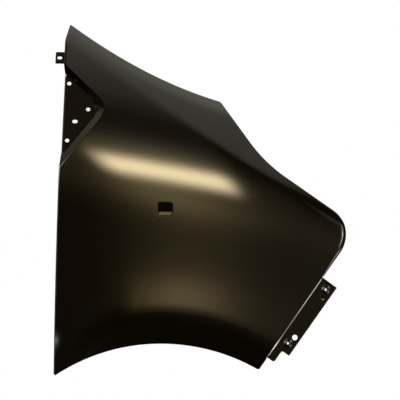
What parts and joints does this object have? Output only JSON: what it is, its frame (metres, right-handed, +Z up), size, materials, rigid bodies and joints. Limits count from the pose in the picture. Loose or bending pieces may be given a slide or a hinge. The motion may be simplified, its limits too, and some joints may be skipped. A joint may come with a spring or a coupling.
{
  "type": "car fender",
  "caption": "Front right outer fender panel with a shoulder crease, flared wheel arch, trim seat, side lamp recess and stepped bumper flange.",
  "frame": {"origin": "middle of the bumper flange's outer face, between its round hole and its upper nut hole", "axes": "+Z up and +Y inboard on the car, so the outer skin looks along -Y; +X towards the car's front"},
  "size_m": [0.6283, 0.2813, 0.7562],
  "materials": {
    "panel_primer": "satin black electrocoat primer",
    "nut_primer": "matt black electrocoat primer"
  },
  "bodies": {
    "root": {"fender_panel": "panel_primer", "lower_weld_nut": "nut_primer", "upper_weld_nut": "nut_primer"}
  },
  "joints": []
}
